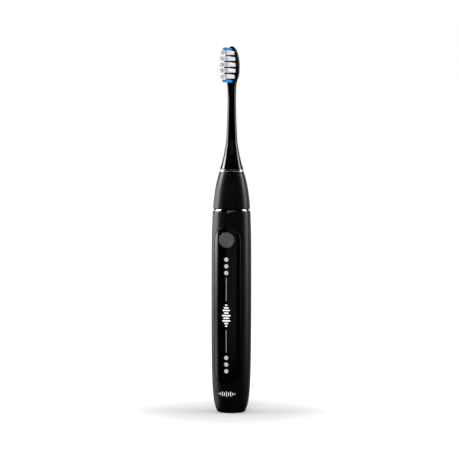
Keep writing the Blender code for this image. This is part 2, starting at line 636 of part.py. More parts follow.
clear_scene()
parts = new_collection("sonic_toothbrush")
cutters = new_collection("cutters")
make_handle_casing()
make_control_panel()
make_lights()
make_power_button()
make_switch()
make_nose_cone()
make_base()
make_chassis()
make_board()
make_battery()
make_motor()
make_drive()
make_brush_head()
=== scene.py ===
import json
import math
import random

import bmesh
import bpy
from mathutils import Matrix, Vector


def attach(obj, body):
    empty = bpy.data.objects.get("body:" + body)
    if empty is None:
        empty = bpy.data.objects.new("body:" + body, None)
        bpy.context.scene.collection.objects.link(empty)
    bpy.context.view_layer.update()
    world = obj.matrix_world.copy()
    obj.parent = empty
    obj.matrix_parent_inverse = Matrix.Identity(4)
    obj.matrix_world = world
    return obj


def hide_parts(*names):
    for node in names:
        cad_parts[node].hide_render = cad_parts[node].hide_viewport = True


print("toothbrush: loading the frame")
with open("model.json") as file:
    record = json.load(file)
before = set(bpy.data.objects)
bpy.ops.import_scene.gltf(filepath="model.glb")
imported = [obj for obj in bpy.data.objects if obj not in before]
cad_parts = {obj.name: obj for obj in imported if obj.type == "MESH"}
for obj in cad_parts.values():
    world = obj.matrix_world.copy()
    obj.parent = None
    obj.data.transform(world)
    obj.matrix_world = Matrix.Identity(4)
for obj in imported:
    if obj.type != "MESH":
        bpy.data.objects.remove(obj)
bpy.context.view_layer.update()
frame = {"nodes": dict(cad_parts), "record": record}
mm = 0.001
slotOf = {part["node"]: part["material_slot"] for part in frame["record"]["subparts"]}


def linearColour(hexText):
    values = [int(hexText[i:i + 2], 16) / 255 for i in (1, 3, 5)]
    return (*[v / 12.92 if v <= 0.04045 else ((v + 0.055) / 1.055) ** 2.4 for v in values], 1.0)


def addNode(tree, kind, links=None, **settings):
    # links holds inputs: a socket is linked, a plain value is set
    made = tree.nodes.new(kind)
    for name, value in settings.items():
        setattr(made, name, value)
    for name, value in (links or {}).items():
        if isinstance(value, bpy.types.NodeSocket):
            tree.links.new(value, made.inputs[name])
        else:
            made.inputs[name].default_value = value
    return made


def perMetre(size):
    # pattern scale for a feature of this size in millimetres
    return 1 / (size * mm)


def noise(place, size, detail):
    # cloudy pattern from 0 to 1; size in millimetres
    made = addNode(place.id_data, "ShaderNodeTexNoise",
                   {"Vector": place, "Scale": perMetre(size), "Detail": detail})
    return made.outputs["Fac"]


def stretched(place, scale):
    return addNode(place.id_data, "ShaderNodeMapping", {"Vector": place, "Scale": scale}).outputs["Vector"]


def startFinish(name, colour, roughness, **sockets):
    # one Principled shader with its output, and the coordinates that its patterns read
    finish = bpy.data.materials.new(name)
    finish.use_nodes = True
    tree = finish.node_tree
    tree.nodes.clear()
    shader = addNode(tree, "ShaderNodeBsdfPrincipled", {
        "Base Color": linearColour(colour), "Roughness": roughness, **sockets})
    addNode(tree, "ShaderNodeOutputMaterial", {"Surface": shader.outputs["BSDF"]})
    place = addNode(tree, "ShaderNodeTexCoord").outputs["Object"]
    return finish, shader, place


def varyRoughness(shader, pattern, low, high):
    tree = shader.id_data
    spread = addNode(tree, "ShaderNodeMapRange", {"Value": pattern, "To Min": low, "To Max": high})
    tree.links.new(spread.outputs["Result"], shader.inputs["Roughness"])


def varyColour(shader, pattern, first, second):
    tree = shader.id_data
    mix = addNode(tree, "ShaderNodeMix", {0: pattern, 6: linearColour(first), 7: linearColour(second)},
                  data_type="RGBA")
    tree.links.new(mix.outputs[2], shader.inputs["Base Color"])


def raiseSurface(shader, pattern, depth):
    # depth in millimetres
    tree = shader.id_data
    bump = addNode(tree, "ShaderNodeBump", {"Height": pattern, "Distance": depth * mm, "Strength": 1.0})
    tree.links.new(bump.outputs["Normal"], shader.inputs["Normal"])


def mouldedSatinAbs():
    # ABS from a spark-eroded mould: broad soft highlights that break up into a fine grain close by
    finish, shader, place = startFinish("satin ABS, spark-eroded mould", "#050506", 0.3, IOR=1.52,
                                        **{"Specular IOR Level": 0.32})
    grain = noise(place, 0.28, 3.0)
    cloud = noise(place, 16, 2.0)
    varyRoughness(shader, cloud, 0.27, 0.34)
    varyColour(shader, grain, "#020203", "#060607")
    raiseSurface(shader, grain, 0.006)
    return finish


def mouldedGlossAbs():
    # ABS from a polished mould: deep black, sharp reflections with a very slight ripple
    finish, shader, place = startFinish("gloss ABS, polished mould", "#020202", 0.06, IOR=1.54)
    ripple = noise(place, 7, 1.0)
    haze = noise(place, 2.5, 4.0)
    varyRoughness(shader, haze, 0.03, 0.09)
    raiseSurface(shader, ripple, 0.004)
    return finish


def chromePlate():
    # bright chrome over a polished moulding: near-mirror, with faint polishing haze
    finish, shader, place = startFinish("chrome plate, polished", "#dcdee1", 0.05, Metallic=1.0)
    haze = noise(place, 1.2, 5.0)
    varyRoughness(shader, haze, 0.03, 0.09)
    return finish


def spunAluminium(look):
    # dark anodised aluminium turned on a lathe: fine rings round the centre, which pull
    # each highlight out into two opposite sectors; the rings are drawn wider than the real 0.05 mm
    finish, shader, place = startFinish("anodised aluminium, spun", look["colour"], 0.5,
                                        Metallic=0.68, Anisotropic=0.9,
                                        **{"Anisotropic Rotation": 0.25})
    tree = shader.id_data
    centred = addNode(tree, "ShaderNodeMapping", {
        "Vector": place, "Location": (0, 0, -look["height"] * mm), "Scale": (1, 0, 1)})
    rings = addNode(tree, "ShaderNodeTexWave", {
        "Vector": centred.outputs["Vector"], "Scale": perMetre(0.32) / 6.28, "Distortion": 0.6,
        "Detail": 2.0, "Detail Scale": 3.0}, wave_type="RINGS", rings_direction="SPHERICAL")
    tangent = addNode(tree, "ShaderNodeTangent", direction_type="RADIAL", axis="Y")
    tree.links.new(tangent.outputs["Tangent"], shader.inputs["Tangent"])
    varyRoughness(shader, rings.outputs["Fac"], 0.46, 0.56)
    varyColour(shader, rings.outputs["Fac"], look["colour"], look["ringColour"])
    raiseSurface(shader, rings.outputs["Fac"], 0.003)
    return finish


def litWindow():
    # milky polycarbonate light pipe with its diode on: an even white dot, a little brighter inside
    finish, shader, place = startFinish("milky polycarbonate, lit", "#a2a3a6", 0.28, IOR=1.58)
    cloud = noise(place, 0.8, 3.0)
    varyRoughness(shader, cloud, 0.22, 0.34)
    varyColour(shader, cloud, "#9c9da0", "#a8a9ac")
    shader.inputs["Emission Color"].default_value = linearColour("#f4f7ff")
    shader.inputs["Emission Strength"].default_value = 0.04
    return finish


def drawnNylon(name, first, second, glow):
    # drawn filament: smooth along its length, a touch of light passing through each one
    finish, shader, place = startFinish(name, first, 0.3, IOR=1.53)
    shader.inputs["Subsurface Weight"].default_value = glow
    shader.inputs["Subsurface Scale"].default_value = 0.4 * mm
    shader.inputs["Subsurface Radius"].default_value = (1.0, 1.0, 1.0)
    tone = noise(place, 0.5, 1.0)
    varyColour(shader, tone, first, second)
    varyRoughness(shader, tone, 0.26, 0.4)
    return finish


def screenInk(name, first, second):
    # screen-printed ink: flat and slightly open at its grain
    finish, shader, place = startFinish(name, first, 0.55, IOR=1.48)
    grain = noise(place, 0.12, 2.0)
    varyColour(shader, grain, first, second)
    varyRoughness(shader, grain, 0.48, 0.62)
    return finish


def groundSteel():
    # stainless steel ground between centres: hair-fine marks round the rod
    finish, shader, place = startFinish("stainless steel, ground", "#b9babd", 0.24, Metallic=1.0)
    marks = noise(stretched(place, (0.06, 0.06, 1.0)), 0.09, 4.0)
    varyRoughness(shader, marks, 0.16, 0.34)
    raiseSurface(shader, marks, 0.002)
    return finish


def stampedIron():
    # soft iron stamped in 0.5 mm sheets: dull, with the sheets' edges showing
    finish, shader, place = startFinish("soft iron, stamped", "#5b5c5f", 0.45, Metallic=1.0)
    tree = shader.id_data
    sheets = addNode(tree, "ShaderNodeTexWave", {
        "Vector": place, "Scale": perMetre(0.5) / 20, "Distortion": 0.4}, bands_direction="Z")
    scale = noise(place, 0.7, 5.0)
    varyRoughness(shader, scale, 0.36, 0.58)
    raiseSurface(shader, sheets.outputs["Fac"], 0.02)
    return finish


def platedNickel():
    # nickel plate over a rolled strip: warm silver, lightly streaked
    finish, shader, place = startFinish("nickel plate, rolled", "#c8c2b6", 0.26, Metallic=1.0)
    marks = noise(stretched(place, (1.0, 1.0, 0.08)), 0.2, 3.0)
    varyRoughness(shader, marks, 0.18, 0.36)
    return finish


def woundCopper():
    # enamelled copper wire of 0.2 mm, wound side by side: ribbed, with a lacquered shine
    finish, shader, place = startFinish("enamelled copper, wound", "#b4622f", 0.3, Metallic=1.0)
    tree = shader.id_data
    wires = addNode(tree, "ShaderNodeTexWave", {
        "Vector": place, "Scale": perMetre(0.2) / 20, "Distortion": 0.5, "Detail": 1.0}, bands_direction="Z")
    varyColour(shader, wires.outputs["Fac"], "#8a4420", "#cf7c3f")
    varyRoughness(shader, wires.outputs["Fac"], 0.4, 0.24)
    raiseSurface(shader, wires.outputs["Fac"], 0.05)
    return finish


def siliconeRubber():
    # moulded silicone: matt and slightly dusty
    finish, shader, place = startFinish("silicone rubber, moulded", "#1a1a1c", 0.72, IOR=1.41)
    dust = noise(place, 0.4, 6.0)
    varyColour(shader, dust, "#141415", "#262628")
    varyRoughness(shader, dust, 0.62, 0.82)
    raiseSurface(shader, dust, 0.008)
    return finish


def solderMask():
    # glass-epoxy board under green solder mask, with raised tracks 0.25 mm wide
    finish, shader, place = startFinish("glass epoxy, green solder mask", "#0f5a33", 0.34, IOR=1.5)
    tree = shader.id_data
    upright = addNode(tree, "ShaderNodeMapping", {"Vector": place, "Rotation": (math.pi / 2, 0, 0)})
    tracks = addNode(tree, "ShaderNodeTexBrick", {
        "Vector": upright.outputs["Vector"],
        "Color1": linearColour("#0c4a2a"), "Color2": linearColour("#11633a"),
        "Mortar": linearColour("#2c8a58"), "Scale": perMetre(1.0), "Mortar Size": 0.12,
        "Brick Width": 3.0, "Row Height": 0.8})
    tree.links.new(tracks.outputs["Color"], shader.inputs["Base Color"])
    varyRoughness(shader, tracks.outputs["Fac"], 0.4, 0.26)
    raiseSurface(shader, tracks.outputs["Fac"], 0.03)
    return finish


def filledNylon():
    # glass-filled nylon frame: grey, with short fibres showing at the skin
    finish, shader, place = startFinish("glass-filled nylon, moulded", "#9a9c9f", 0.5, IOR=1.53)
    fibres = noise(stretched(place, (1.0, 1.0, 0.3)), 0.3, 5.0)
    varyColour(shader, fibres, "#8b8d90", "#a9abae")
    varyRoughness(shader, fibres, 0.42, 0.58)
    raiseSurface(shader, fibres, 0.006)
    return finish


def shrunkSleeve():
    # PVC shrunk over the cell's can: glossy blue, with slack ripples
    finish, shader, place = startFinish("PVC sleeve, heat-shrunk", "#1d5fae", 0.22, IOR=1.53)
    slack = noise(place, 3.5, 2.0)
    varyColour(shader, slack, "#195499", "#2269bd")
    varyRoughness(shader, slack, 0.16, 0.3)
    raiseSurface(shader, slack, 0.05)
    return finish


button = {
    "height": 118.4, "radius": 5.25, "face": 13.05, "dish": 0.12, "edge": 0.32, "skirt": 10.6,
    "colour": "#616165", "ringColour": "#74747a",
}
finishes = {
    "satin_black_plastic": mouldedSatinAbs(), "gloss_black_plastic": mouldedGlossAbs(),
    "chrome_trim": chromePlate(), "spun_metal": spunAluminium(button), "light_diffuser": litWindow(),
    "bristle_white": drawnNylon("nylon filament, white", "#edeef0", "#d9dbdf", 0.2),
    "bristle_blue": drawnNylon("nylon filament, blue", "#3aaaea", "#1c84d2", 0.1),
    "shaft_steel": groundSteel(), "soft_iron": stampedIron(), "nickel_plate": platedNickel(),
    "winding_copper": woundCopper(), "seal_rubber": siliconeRubber(), "board_laminate": solderMask(),
    "frame_plastic": filledNylon(), "cell_wrap": shrunkSleeve(),
}
inkGrey = screenInk("screen ink, grey", "#77787a", "#838486")
inkWhite = screenInk("screen ink, white", "#e4e5e6", "#f0f0f0")

print("toothbrush: finishing the inner pieces")
for nodeName, cadPiece in frame["nodes"].items():
    cadPiece.data.materials.clear()
    cadPiece.data.materials.append(finishes[slotOf[nodeName]])


def curveThrough(points):
    # smooth height to radius curve through (radius, height) points, which never overshoots them
    heights = [z for r, z in points]
    radii = [r for r, z in points]
    steps = [b - a for a, b in zip(heights, heights[1:])]
    rates = [(b - a) / h for a, b, h in zip(radii, radii[1:], steps)]
    slopes = [rates[0]]
    for i in range(1, len(rates)):
        before, after = rates[i - 1], rates[i]
        if before * after <= 0:
            slopes.append(0.0)
        else:
            w1, w2 = 2 * steps[i] + steps[i - 1], steps[i] + 2 * steps[i - 1]
            slopes.append((w1 + w2) / (w1 / before + w2 / after))
    slopes.append(rates[-1])

    def radiusAt(height):
        height = min(max(height, heights[0]), heights[-1])
        i = max(k for k in range(len(steps)) if heights[k] <= height)
        h = steps[i]
        t = (height - heights[i]) / h
        return (radii[i] * (1 + 2 * t) * (1 - t) ** 2 + slopes[i] * h * t * (1 - t) ** 2
                + radii[i + 1] * t * t * (3 - 2 * t) + slopes[i + 1] * h * t * t * (t - 1))
    return radiusAt


def softCorner(before, corner, after, size, count=5):
    # a rounded corner in a profile; size is how far from the corner it begins
    start = Vector(corner) + (Vector(before) - Vector(corner)).normalized() * size
    end = Vector(corner) + (Vector(after) - Vector(corner)).normalized() * size
    places = [i / count for i in range(count + 1)]
    return [tuple(start * (1 - t) ** 2 + Vector(corner) * 2 * t * (1 - t) + end * t * t) for t in places]


def softened(profile, corners):
    # corners: index in the profile to rounding size
    made = []
    for i, point in enumerate(profile):
        if i in corners:
            made += softCorner(profile[i - 1], point, profile[(i + 1) % len(profile)], corners[i])
        else:
            made.append(point)
    return made


def addObject(name, data):
    made = bpy.data.objects.new(name, data)
    bpy.context.scene.collection.objects.link(made)
    return made


def meshFrom(name, bm):
    mesh = bpy.data.meshes.new(name)
    bm.to_mesh(mesh)
    bm.free()
    return mesh


def shadeEdges(mesh, crease=32):
    # smooth faces, with an edge kept sharp where it turns by more than this many degrees
    mesh.shade_smooth()
    mesh.set_sharp_from_angle(angle=math.radians(crease))


def newPiece(name, bm, crease=32):
    bmesh.ops.remove_doubles(bm, verts=bm.verts, dist=0.0005 * mm)
    bmesh.ops.recalc_face_normals(bm, faces=bm.faces)
    mesh = meshFrom(name, bm)
    shadeEdges(mesh, crease)
    return addObject(name, mesh)


def joinLoops(bm, lower, upper, closed=True):
    count = len(lower)
    for i in range(count if closed else count - 1):
        j = (i + 1) % count
        corners = []
        for vert in (lower[i], lower[j], upper[j], upper[i]):
            if vert not in corners:
                corners.append(vert)
        if len(corners) > 2:
            bm.faces.new(corners)


def turnedPiece(name, profile, steps=160, closed=True, facing=None):
    # profile: (radius, height) points; facing: a matrix that turns the piece after it is made about +Z
    bm = bmesh.new()
    angles = [2 * math.pi * (i + 0.5) / steps for i in range(steps)]
    loops = []
    for radius, height in profile:
        if radius == 0:
            loops.append([bm.verts.new((0, 0, height * mm))] * steps)
        else:
            loops.append([bm.verts.new((radius * math.cos(a) * mm, radius * math.sin(a) * mm, height * mm))
                          for a in angles])
    for lower, upper in zip(loops, loops[1:] + ([loops[0]] if closed else [])):
        joinLoops(bm, lower, upper)
    if facing:
        bmesh.ops.transform(bm, matrix=facing, verts=bm.verts)
    return newPiece(name, bm)


def inlayPiece(name, shape, levels, columns=10):
    # a round-ended shape that follows the handle's front; levels are (outset, radius at a height) from
    # back to front. shape: half width, the two end centres and, if it lies across the handle, its height
    half, start, end = shape["half"], shape["start"], shape["end"]
    sideways = "across" in shape
    arcSteps, runSteps = shape.get("arcSteps", 12), shape.get("runSteps", 1)
    rows = [(math.cos(a), start, math.sin(a)) for a in
            (math.radians(-90 + 90 * i / arcSteps) for i in range(arcSteps + 1))]
    rows += [(1.0, start + (end - start) * i / runSteps, 0.0) for i in range(1, runSteps)]
    rows += [(math.cos(a), end, math.sin(a)) for a in
             (math.radians(90 * i / arcSteps) for i in range(arcSteps + 1))]
    bm = bmesh.new()

    def onHandle(side, along, radiusAt):
        x, z = (along, shape["across"] + side) if sideways else (side, along)
        radius = radiusAt(z)
        return bm.verts.new((x * mm, -math.sqrt(radius * radius - x * x) * mm, z * mm))

    edges = []
    for outset, radiusAt in levels:
        reach = half + outset
        edges.append([(onHandle(-reach * w, base + reach * rise, radiusAt),
                       onHandle(reach * w, base + reach * rise, radiusAt)) for w, base, rise in rows])
    for lower, upper in zip(edges, edges[1:]):
        for side in (0, 1):
            joinLoops(bm, [pair[side] for pair in lower], [pair[side] for pair in upper], closed=False)
    for (outset, radiusAt), edge in ((levels[0], edges[0]), (levels[-1], edges[-1])):
        reach = half + outset
        lines = []
        for (w, base, rise), (left, right) in zip(rows, edge):
            inner = [onHandle(reach * w * (2 * i / columns - 1), base + reach * rise, radiusAt)
                     for i in range(1, columns)]
            lines.append([left, *inner, right])
        for first, second in zip(lines, lines[1:]):
            joinLoops(bm, first, second, closed=False)
    return newPiece(name, bm)


def cutAway(piece, *cutters):
    for cutter in cutters:
        boolean = piece.modifiers.new("Cut", "BOOLEAN")
        boolean.operation = "DIFFERENCE"
        boolean.solver = "EXACT"
        boolean.object = cutter
    bpy.context.view_layer.update()
    graph = bpy.context.evaluated_depsgraph_get()
    cut = bpy.data.meshes.new_from_object(piece.evaluated_get(graph))
    piece.modifiers.clear()
    oldMesh, piece.data = piece.data, cut
    bpy.data.meshes.remove(oldMesh)
    for cutter in cutters:
        bpy.data.objects.remove(cutter, do_unlink=True)
    shadeEdges(cut)


def followOutline(piece, radiusAt, within=0.03):
    # exact normals of the turned surface on every face that lies on it, so cuts leave no ripple
    step, facingOut = 0.02, 0.85
    mesh = piece.data
    normals = [(0.0, 0.0, 0.0)] * len(mesh.loops)
    for face in mesh.polygons:
        onSurface = True
        exact = []
        for index in face.vertices:
            x, y, z = mesh.vertices[index].co / mm
            slope = (radiusAt(z + step) - radiusAt(z - step)) / (2 * step)
            radial = math.hypot(x, y)
            if abs(radial - radiusAt(z)) > within or radial < 1:
                onSurface = False
                break
            exact.append(Vector((x / radial, y / radial, -slope)).normalized())
        if onSurface and face.normal.dot(exact[0]) > facingOut:
            for loopIndex, normal in zip(face.loop_indices, exact):
                normals[loopIndex] = tuple(normal)
    mesh.normals_split_custom_set(normals)


def finishPiece(piece, body, slotName, *nodes, finish=None):
    piece.data.materials.clear()
    piece.data.materials.append(finish or finishes[slotName])
    if nodes:
        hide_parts(*nodes)
    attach(piece, body)


facingFront = Matrix.Rotation(math.pi / 2, 4, "X")

print("toothbrush: handle")
handle = {
    "outline": ((8.3, 0.0), (9.35, 0.45), (10.15, 1.7), (11.15, 4.6), (12.15, 9.9), (12.95, 18.8),
                (13.4, 35.0), (13.6, 54.0), (13.65, 74.0), (13.63, 93.0), (13.52, 115.0), (13.05, 134.0),
                (12.87, 137.2), (12.6, 138.0)),
    "rimTop": 138.0, "rimRounding": 0.18, "bore": 11.6, "rimBore": 12.3, "rimBoreBottom": 132.6,
    "capSeat": 7.4, "capSeatDepth": 2.2, "plugBore": 6.9,
    "notchHalfWidth": 6.0, "notchDepth": 1.8,
}
panel = {
    "halfWidth": 9.05, "lowerCentre": 29.4, "upperCentre": 118.4, "back": 12.6, "floor": 12.3, "groove": 0.3,
    "edge": 0.18, "recessEdge": 0.14, "well": 6.1, "wellEdge": 0.22, "cutFloor": 11.8,
}
panelRun = {"start": panel["lowerCentre"], "end": panel["upperCentre"], "arcSteps": 28, "runSteps": 30}
lights = {"radius": 1.45, "pitch": 4.55, "modeTop": 105.2, "batteryTop": 38.3, "inner": 10.4, "edge": 0.12,
          "groove": 0.04, "holeGap": 0.3}
handleRadius = curveThrough(handle["outline"])
quarter = [math.pi / 2 * i / 5 for i in range(6)]


def sunk(depth):
    # radius function for a surface this far below the handle's
    return lambda z: handleRadius(z) - depth


def flat(radius):
    return lambda z: radius


def roundEdge(size, back):
    # levels from a flat back to a front that is flush with the handle and has a rounded edge
    rounded = [(-size * (1 - math.cos(a)), sunk(size * (1 - math.sin(a)))) for a in quarter]
    return [(0.0, flat(back)), *rounded]


def recessCutter(name, shape, floor, edge):
    # opens out at the handle's surface, so the cut is left with a rounded edge
    levels = [(0.0, flat(floor))]
    levels += [(edge * (1 - math.cos(a)), sunk(edge * (1 - math.sin(a)))) for a in quarter]
    levels += [(edge * 1.4, sunk(-0.012)), (edge * 1.4, sunk(-1.2))]
    return inlayPiece(name, shape, levels)


def lightHeights():
    for group, top in (("modeWindow", lights["modeTop"]), ("batteryWindow", lights["batteryTop"])):
        for number in range(3):
            yield f"{group}{number + 1}", top - lights["pitch"] * number


def frontHole(name, radius, height):
    profile = [(0, 8), (radius, 8), (radius, 18), (0, 18)]
    place = Matrix.Translation((0, 0, height * mm)) @ facingFront
    return turnedPiece(name, profile, steps=48, closed=False, facing=place)


def notchCutter():
    # a gull-wing V in the rim, its flanks running out tangent to the edge
    count = 14
    half, deep, top = handle["notchHalfWidth"], handle["notchDepth"], handle["rimTop"]
    line = [(half * (i / count), top - deep * (1 - i / count) ** 2) for i in range(count + 1)]
    line = [(-x, z) for x, z in reversed(line[1:])] + line
    line = [(-half - 1, top + 0.001), *line, (half + 1, top + 0.001)]
    ends = (-16, -11)
    bm = bmesh.new()
    rows = [[bm.verts.new((x * mm, y * mm, z * mm)) for x, z in line] for y in ends]
    tops = [[bm.verts.new((x * mm, y * mm, (top + 2) * mm)) for x, z in line] for y in ends]
    joinLoops(bm, rows[0], rows[1], closed=False)
    joinLoops(bm, tops[0], tops[1], closed=False)
    for k in (0, 1):
        joinLoops(bm, rows[k], tops[k], closed=False)
    for end in (0, -1):
        bm.faces.new((rows[0][end], rows[1][end], tops[1][end], tops[0][end]))
    return newPiece("notchCutter", bm)


def makeCasing():
    outer = [0.0, 0.12, 0.3, 0.5, 0.8, 1.2, 1.7, 2.4, 3.3, 4.4, 5.8, 7.5, 9.5, 12, 15, 18.5, 22.5]
    outer += [27 + 4.5 * i for i in range(23)] + [130.5, 132.5, 134, 135.3, 136.3, 137.0, 137.4, 137.7]
    top = handle["rimTop"]
    rim = handleRadius(137.7)
    profile = [(handleRadius(z), z) for z in outer]
    profile += softCorner((rim, 137.6), (handleRadius(top), top), (handle["rimBore"], top),
                          handle["rimRounding"])[1:]
    profile += [(handle["rimBore"], top - 0.02), (handle["rimBore"], handle["rimBoreBottom"] + 0.3),
                (handle["bore"], handle["rimBoreBottom"]), (handle["bore"], 17.0), (11.2, 13.0), (9.8, 6.0),
                (handle["plugBore"], 6.0), (handle["plugBore"], handle["capSeatDepth"]),
                (handle["capSeat"], handle["capSeatDepth"]), (handle["capSeat"], 0.15),
                (handle["capSeat"] + 0.15, 0.0)]
    casing = turnedPiece("casingShell", profile, steps=180)
    recess = {"half": panel["halfWidth"] + panel["groove"], **panelRun}
    gap = lights["holeGap"]
    holes = [frontHole("holeCutter", button["radius"] + gap, button["height"])]
    holes += [frontHole("holeCutter", lights["radius"] + gap, height) for name, height in lightHeights()]
    inlayCutter = recessCutter("recessCutter", recess, panel["floor"], panel["recessEdge"])
    cutAway(casing, inlayCutter, notchCutter(), *holes)
    followOutline(casing, handleRadius)
    finishPiece(casing, "handle", "satin_black_plastic", "handle_casing")


def makePanel():
    shape = {"half": panel["halfWidth"], **panelRun}
    inlay = inlayPiece("panelInlay", shape, roundEdge(panel["edge"], panel["back"]), columns=24)
    well = {"half": panel["well"], "start": button["height"], "end": button["height"], "arcSteps": 28}
    cutters = [recessCutter("wellCutter", well, panel["cutFloor"], panel["wellEdge"])]
    for name, height in lightHeights():
        hole = {"half": lights["radius"] + lights["groove"], "start": height, "end": height}
        cutters.append(recessCutter("windowCutter", hole, panel["cutFloor"], lights["groove"]))
    cutAway(inlay, *cutters)
    followOutline(inlay, handleRadius, within=0.006)
    finishPiece(inlay, "handle", "gloss_black_plastic", "control_panel")


def makeWindows():
    nodes = [f"{group}_light_{i}" for group in ("mode", "battery") for i in (1, 2, 3)]
    for (name, height), node in zip(lightHeights(), nodes):
        shape = {"half": lights["radius"], "start": height, "end": height}
        window = inlayPiece(name, shape, roundEdge(lights["edge"], lights["inner"]), columns=8)
        finishPiece(window, "handle", "light_diffuser", node)


def makeButton():
    face, radius, dish, edge = button["face"], button["radius"], button["dish"], button["edge"]
    inside = radius - edge
    dished = [(r, face - dish * (1 - (r / inside) ** 2)) for r in [inside * i / 16 for i in range(17)]]
    pip = [(0, dished[0][1] - 0.07), (0.12, dished[0][1] - 0.055), (0.24, dished[0][1] - 0.01)]
    edgeArc = [(inside + edge * math.sin(a), face - edge * (1 - math.cos(a))) for a in
               [math.pi / 2 * i / 6 for i in range(1, 7)]]
    profile = [*pip, *dished[1:], *edgeArc, (radius, button["skirt"]), (4.3, button["skirt"]), (4.3, 12.0),
               (1.5, 12.0), (1.5, 11.35), (0, 11.35)]
    place = Matrix.Translation((0, 0, button["height"] * mm)) @ facingFront
    cap = turnedPiece("buttonCap", profile, steps=128, closed=False, facing=place)
    # two lugs behind the casing keep the button from falling out
    bm = bmesh.new()
    bm.from_mesh(cap.data)
    for sign in (1, -1):
        lug = Matrix.Translation((0, -(button["skirt"] + 0.25) * mm, (button["height"] + sign * 5.5) * mm))
        bmesh.ops.create_cube(bm, size=1, matrix=lug @ Matrix.Diagonal((3 * mm, 0.5 * mm, 1.6 * mm, 1)))
    bm.to_mesh(cap.data)
    bm.free()
    shadeEdges(cap.data)
    finishPiece(cap, "power_button", "spun_metal", "power_button")


# printed marks: two thin lines on the panel, and plain sound-wave bars in place of lettering
marks = {
    "lines": ((92.9, 77.0), (57.4, 41.9)), "lineHalf": 0.24, "proud": 0.008,
    "waveTop": 74.7, "wavePitch": 1.78, "waveHalf": 0.46,
    "waveLengths": (1.6, 3.4, 5.0, 3.2, 6.0, 4.2, 5.6, 2.8, 1.6),
    "footHeight": 13.5, "footPitch": 1.45, "footHalf": 0.22,
    "footLengths": (1.0, 2.0, 3.2, 2.2, 3.8, 2.6, 3.4, 1.8, 1.0),
}


def joinPieces(name, pieces):
    bm = bmesh.new()
    for piece in pieces:
        bm.from_mesh(piece.data)
    for piece in pieces:
        bpy.data.objects.remove(piece, do_unlink=True)
    return newPiece(name, bm)


def makeMarks():
    levels = [(0.0, sunk(0.02)), (0.0, sunk(-marks["proud"]))]
    for side, (top, bottom) in zip(("Upper", "Lower"), marks["lines"]):
        half = marks["lineHalf"]
        shape = {"half": half, "start": bottom + half, "end": top - half, "arcSteps": 5, "runSteps": 12}
        line = inlayPiece(f"panelLine{side}", shape, levels, columns=2)
        finishPiece(line, "handle", "light_diffuser", finish=inkGrey)
    bars = []
    for i, length in enumerate(marks["waveLengths"]):
        reach = length / 2 - marks["waveHalf"]
        shape = {"half": marks["waveHalf"], "start": -reach, "end": reach, "runSteps": 10, "arcSteps": 6,
                 "across": marks["waveTop"] - marks["waveHalf"] - marks["wavePitch"] * i}
        bars.append(inlayPiece("bar", shape, levels, columns=2))
    finishPiece(joinPieces("waveMark", bars), "handle", "light_diffuser", finish=inkWhite)
    bars = []
    count = len(marks["footLengths"])
    for i, length in enumerate(marks["footLengths"]):
        reach = length / 2 - marks["footHalf"]
        angle = marks["footPitch"] * (i - (count - 1) / 2) / handleRadius(marks["footHeight"])
        shape = {"half": marks["footHalf"], "start": marks["footHeight"] - reach,
                 "end": marks["footHeight"] + reach, "runSteps": 6, "arcSteps": 6}
        bar = inlayPiece("bar", shape, levels, columns=2)
        bar.data.transform(Matrix.Rotation(angle, 4, "Z"))
        bars.append(bar)
    finishPiece(joinPieces("footMark", bars), "handle", "light_diffuser", finish=inkWhite)


makeCasing()
makePanel()
makeWindows()
makeButton()
makeMarks()

print("toothbrush: nose cone, rings and base")
nose = {
    "outline": ((12.45, 139.4), (12.6, 139.65), (12.5, 142.2), (12.0, 147.2), (11.15, 153.3), (9.7, 160.0),
                (8.25, 164.7)),
    "skirt": 11.3, "skirtBottom": 129.9, "bore": 9.7, "tipBore": 4.9, "shaftHole": 3.0,
}
noseRadius = curveThrough(nose["outline"])


def makeNose():
    (rim, bottom), (tip, top) = nose["outline"][0], nose["outline"][-1]
    skirt, skirtBottom, bore = nose["skirt"], nose["skirtBottom"], nose["bore"]
    tipBore, hole = nose["tipBore"], nose["shaftHole"]
    heights = [bottom + 0.1 * i for i in range(4)]
    heights += [bottom + 0.5 + (top - bottom - 0.6) * i / 34 for i in range(35)]
    outer = [(noseRadius(z), z) for z in heights]
    start = (skirt, bottom)
    profile = [start, *softCorner(start, (rim, bottom), (rim + 0.15, bottom + 0.3), 0.12)]
    profile += [*outer[3:], *softCorner(outer[-1], (tip, top), (tipBore, top), 0.09), (tipBore, top)]
    profile += [(tipBore, 161.2), (hole, 161.2), (hole, 158.2), (7.0, 156.8), (9.8, 149.5), (10.5, 141.5),
                (bore, 139.0), (bore, skirtBottom), (skirt, skirtBottom), (skirt, 131.0), (skirt - 1, 131.0),
                (skirt - 1, 132.3), (skirt, 132.3)]
    shell = turnedPiece("noseShell", profile, steps=180)
    followOutline(shell, noseRadius)
    finishPiece(shell, "handle", "satin_black_plastic", "nose_cone")


# the seam ring's band leans back in the gap in two facets; its plain skirt shows through the notch
seamRing = {"inner": 11.6, "outer": 12.0, "top": (11.86, 139.2), "bend": (12.26, 138.7),
            "lip": (12.36, 138.16), "under": (12.1, 138.1), "skirtTop": 138.08, "bottom": 133.2}


def makeSeamRing():
    inner, outer, bend = seamRing["inner"], seamRing["outer"], seamRing["bend"]
    start = (inner, seamRing["top"][1])
    profile = [start, *softCorner(start, seamRing["top"], bend, 0.05, 3), bend,
               *softCorner(bend, seamRing["lip"], seamRing["under"], 0.04, 3), (outer, seamRing["skirtTop"]),
               (outer, seamRing["bottom"]), (inner, seamRing["bottom"])]
    seam = turnedPiece("seamTrim", profile, steps=180)
    finishPiece(seam, "handle", "chrome_trim", "seam_ring")


headRing = {"bottom": 164.95, "top": 165.85, "radius": 8.2, "bore": 6.3, "rounding": 0.08}


